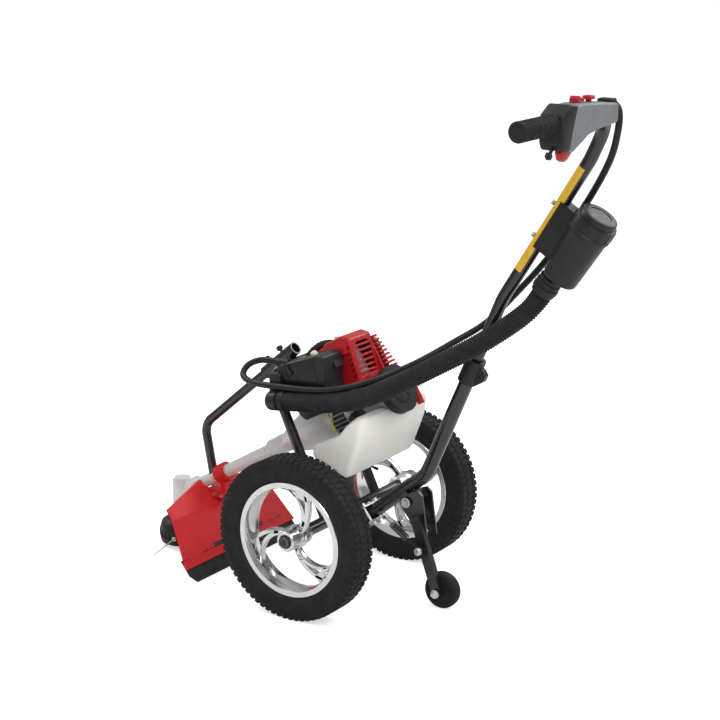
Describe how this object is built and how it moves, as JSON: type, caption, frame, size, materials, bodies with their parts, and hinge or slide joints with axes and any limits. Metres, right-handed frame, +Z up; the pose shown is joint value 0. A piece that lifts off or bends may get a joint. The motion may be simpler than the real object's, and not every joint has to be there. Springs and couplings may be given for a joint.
{
  "type": "wheeled string trimmer",
  "caption": "Petrol string trimmer on a two-wheel chassis with push handle, tilted engine, long drive tube, spinning line head, guard and a rear stand wheel.",
  "frame": {"origin": "on the ground under the middle of the machine's box, cords left out", "axes": "+Y forward along the drive, towards the cutter head, +X to the machine's right, +Z up"},
  "size_m": [0.576, 1.0364, 1.0178],
  "materials": {
    "frame_black": "gloss black paint",
    "steel": "machined steel",
    "zinc": "zinc plated",
    "soft_black": "matt black rubber",
    "plastic_black": "moulded black plastic",
    "plastic_grey": "moulded grey plastic",
    "plastic_red": "moulded red plastic",
    "cast_grey": "cast alloy",
    "exhaust": "heat resistant black paint",
    "tank_white": "milky moulded plastic",
    "tube_white": "silver white paint",
    "tyre": "black tyre rubber",
    "rim_alloy": "bright cast alloy",
    "line_white": "nylon line"
  },
  "bodies": {
    "chassis": {"axle_beam": "frame_black", "frame_hoop": "frame_black", "engine_post": "frame_black", "axle_rod": "steel", "wheel_bearings": "steel", "handle_lower_tube": "frame_black", "tube_end_plug": "plastic_black", "handle_clamp": "plastic_black", "handle_upper_tube": "frame_black", "grip_rubber": "soft_black", "throttle_inner_shell": "plastic_grey", "throttle_outer_shell": "plastic_black", "throttle_cable": "soft_black", "filter_bowl": "plastic_black", "filter_lid": "plastic_black", "filter_bracket": "plastic_black", "fasteners": "zinc", "hose_collars": "plastic_black", "intake_hose": "soft_black", "crankcase": "cast_grey", "cylinder_block": "cast_grey", "piston_and_rod": "cast_grey", "crankshaft": "steel", "flywheel": "steel", "clutch_shoes": "cast_grey", "muffler": "exhaust", "top_shroud": "plastic_red", "intake_cover": "plastic_black", "carburettor": "cast_grey", "plug_boot": "soft_black", "fuel_tank": "tank_white", "starter_cover": "plastic_black", "clutch_housing": "cast_grey", "drive_tube": "tube_white", "shaft_bearings": "steel", "gearbox_case": "cast_grey", "guard": "plastic_red", "guard_skirt": "soft_black", "guard_clamp": "plastic_red", "adjuster_rod": "frame_black", "stand_spring": "steel"},
    "left_wheel": {"left_tyre": "tyre", "left_rim": "rim_alloy"},
    "right_wheel": {"right_tyre": "tyre", "right_rim": "rim_alloy"},
    "stand": {"stand_leg": "frame_black"},
    "stand_roller": {"stand_wheel": "soft_black"},
    "cutter": {"output_gear": "steel", "trimmer_head": "plastic_black", "cutting_line": "line_white"},
    "drive": {"clutch_drum": "steel", "drive_shaft": "steel"},
    "trigger": {"throttle_trigger": "plastic_red"},
    "switch": {"stop_switch": "plastic_red"},
    "lock": {"lock_button": "plastic_red"},
    "cap": {"fuel_cap": "plastic_black"},
    "choke": {"choke_lever": "plastic_black"},
    "starter": {"starter_grip": "plastic_red"},
    "front_screw": {"front_thumb_screw": "plastic_black"},
    "rear_screw": {"rear_thumb_screw": "plastic_black"}
  },
  "joints": [
    {"name": "left_wheel_spin", "type": "hinge", "parent": "chassis", "child": "left_wheel", "pos_m": [-0.142, 0.04023, 0.1585], "axis": [1, 0, 0], "continuous": true},
    {"name": "right_wheel_spin", "type": "hinge", "parent": "chassis", "child": "right_wheel", "pos_m": [0.246, 0.04023, 0.1585], "axis": [1, 0, 0], "continuous": true},
    {"name": "stand_swing", "type": "hinge", "parent": "chassis", "child": "stand", "pos_m": [0.052, -0.09967, 0.20387], "axis": [1, 0, 0], "range_deg": [0, 70], "deforming": ["stand_spring"]},
    {"name": "stand_wheel_spin", "type": "hinge", "parent": "stand", "child": "stand_roller", "pos_m": [0.048, -0.17267, 0.036], "axis": [1, 0, 0], "continuous": true},
    {"name": "cutter_spin", "type": "hinge", "parent": "chassis", "child": "cutter", "pos_m": [0.052, 0.4682, 0.1125], "axis": [0, 0, 1], "continuous": true},
    {"name": "drive_spin", "type": "hinge", "parent": "chassis", "child": "drive", "pos_m": [0.052, 0.4682, 0.1125], "axis": [0, -0.866, 0.5], "continuous": true},
    {"name": "trigger_squeeze", "type": "hinge", "parent": "chassis", "child": "trigger", "pos_m": [-0.084, -0.4962, 0.9538], "axis": [0, 1, 0], "range_deg": [0, 18], "stiffness_Nm_per_rad": 0.2, "springref_deg": -11.46},
    {"name": "stop_switch_slide", "type": "slide", "parent": "chassis", "child": "switch", "axis": [-1, 0, 0], "range_m": [0, 0.006]},
    {"name": "lock_button_press", "type": "slide", "parent": "chassis", "child": "lock", "axis": [0, 0, -1], "range_m": [0, 0.0035], "stiffness_N_per_m": 200, "springref_m": -0.002},
    {"name": "fuel_cap_turn", "type": "hinge", "parent": "chassis", "child": "cap", "pos_m": [-0.028, -0.03177, 0.374], "axis": [0, 0.7986, 0.6018], "range_deg": [0, 270]},
    {"name": "choke_turn", "type": "hinge", "parent": "chassis", "child": "choke", "pos_m": [-0.06, 0.10591, 0.45099], "axis": [1, 0, 0], "range_deg": [0, 60]},
    {"name": "starter_pull", "type": "slide", "parent": "chassis", "child": "starter", "axis": [1, 0, 0], "range_m": [0, 0.045], "stiffness_N_per_m": 20, "springref_m": -0.02},
    {"name": "front_screw_turn", "type": "hinge", "parent": "chassis", "child": "front_screw", "pos_m": [0.052, 0.22937, 0.42005], "axis": [0, 0.6428, 0.766], "range_deg": [0, 360]},
    {"name": "rear_screw_turn", "type": "hinge", "parent": "chassis", "child": "rear_screw", "pos_m": [0.052, 0.19873, 0.44576], "axis": [0, 0.6428, 0.766], "range_deg": [0, 360]}
  ],
  "couplings": [
    {"joint": "drive_spin", "follows": "cutter_spin", "ratio": -1.3333}
  ]
}
